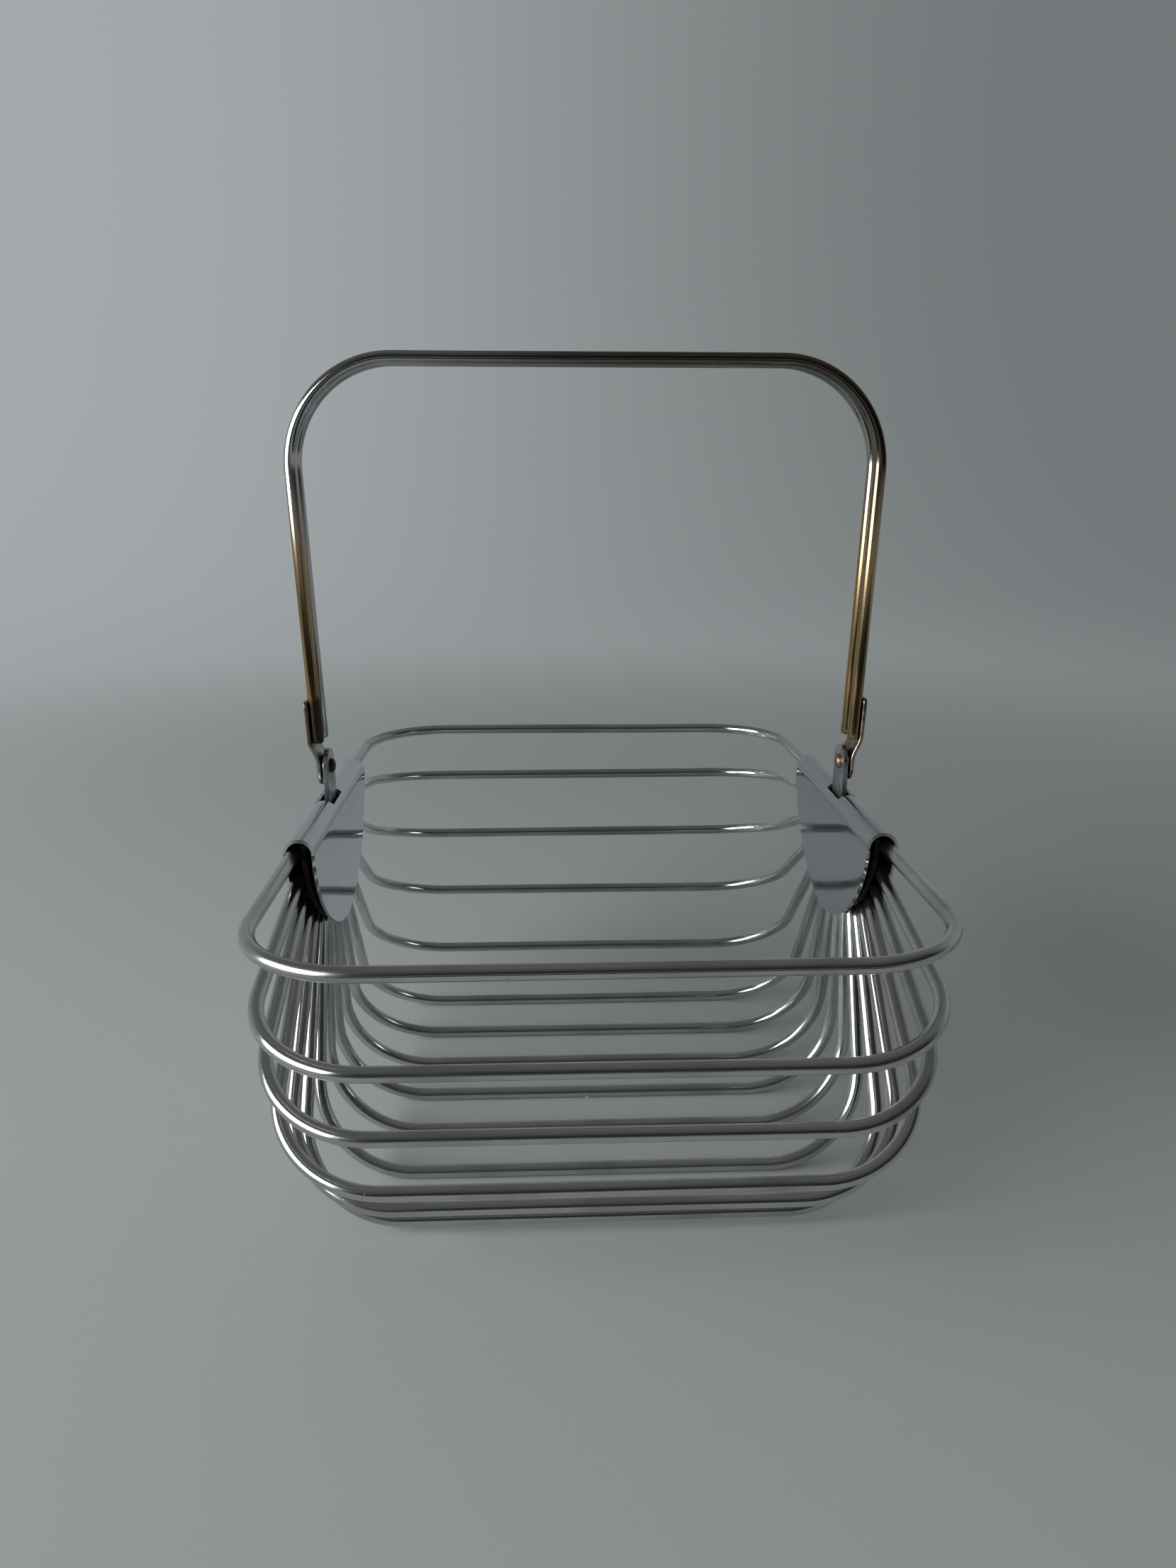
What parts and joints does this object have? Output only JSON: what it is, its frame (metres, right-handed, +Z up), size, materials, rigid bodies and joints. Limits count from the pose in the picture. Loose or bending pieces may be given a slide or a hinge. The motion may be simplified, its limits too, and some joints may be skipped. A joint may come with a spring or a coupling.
{
  "type": "grill basket",
  "caption": "Open wire grill basket of fanned U-shaped wires held by folded end caps, with a two-rod swing handle.",
  "frame": {"origin": "middle of the footprint, on the surface the basket stands on", "axes": "+Z up, X along the handle's hinge line between the two end caps, -Y towards the front rim"},
  "size_m": [0.1806, 0.25, 0.2489],
  "materials": {
    "basket_wire": "bright plated wire",
    "cap_sheet": "polished plated sheet",
    "lug_steel": "plated sheet",
    "handle_rod": "tarnished plated rod",
    "handle_strip": "tarnished plated strip",
    "rivet": "dulled copper-coloured rivet",
    "washer": "dark plain washer"
  },
  "bodies": {
    "basket": {"rim_bail_front": "basket_wire", "bail_02": "basket_wire", "bail_03": "basket_wire", "bail_04": "basket_wire", "bail_05": "basket_wire", "bail_06": "basket_wire", "bail_07": "basket_wire", "bail_08": "basket_wire", "bail_09": "basket_wire", "bail_10": "basket_wire", "bail_11": "basket_wire", "bail_12": "basket_wire", "bail_13": "basket_wire", "bail_14": "basket_wire", "bail_15": "basket_wire", "bail_16": "basket_wire", "rim_bail_rear": "basket_wire", "cap_left": "cap_sheet", "cap_right": "cap_sheet", "lug_plate_left": "lug_steel", "lug_plate_right": "lug_steel", "handle_rivet_left": "rivet", "handle_rivet_right": "rivet", "handle_washer_left": "washer", "handle_washer_right": "washer"},
    "handle": {"handle_rod_front": "handle_rod", "handle_rod_rear": "handle_rod", "handle_end_left": "handle_strip", "handle_end_right": "handle_strip"}
  },
  "joints": [
    {"name": "handle_swing", "type": "hinge", "parent": "basket", "child": "handle", "pos_m": [0, 0, 0.1236], "axis": [1, 0, 0], "range_deg": [-93, 93]}
  ]
}
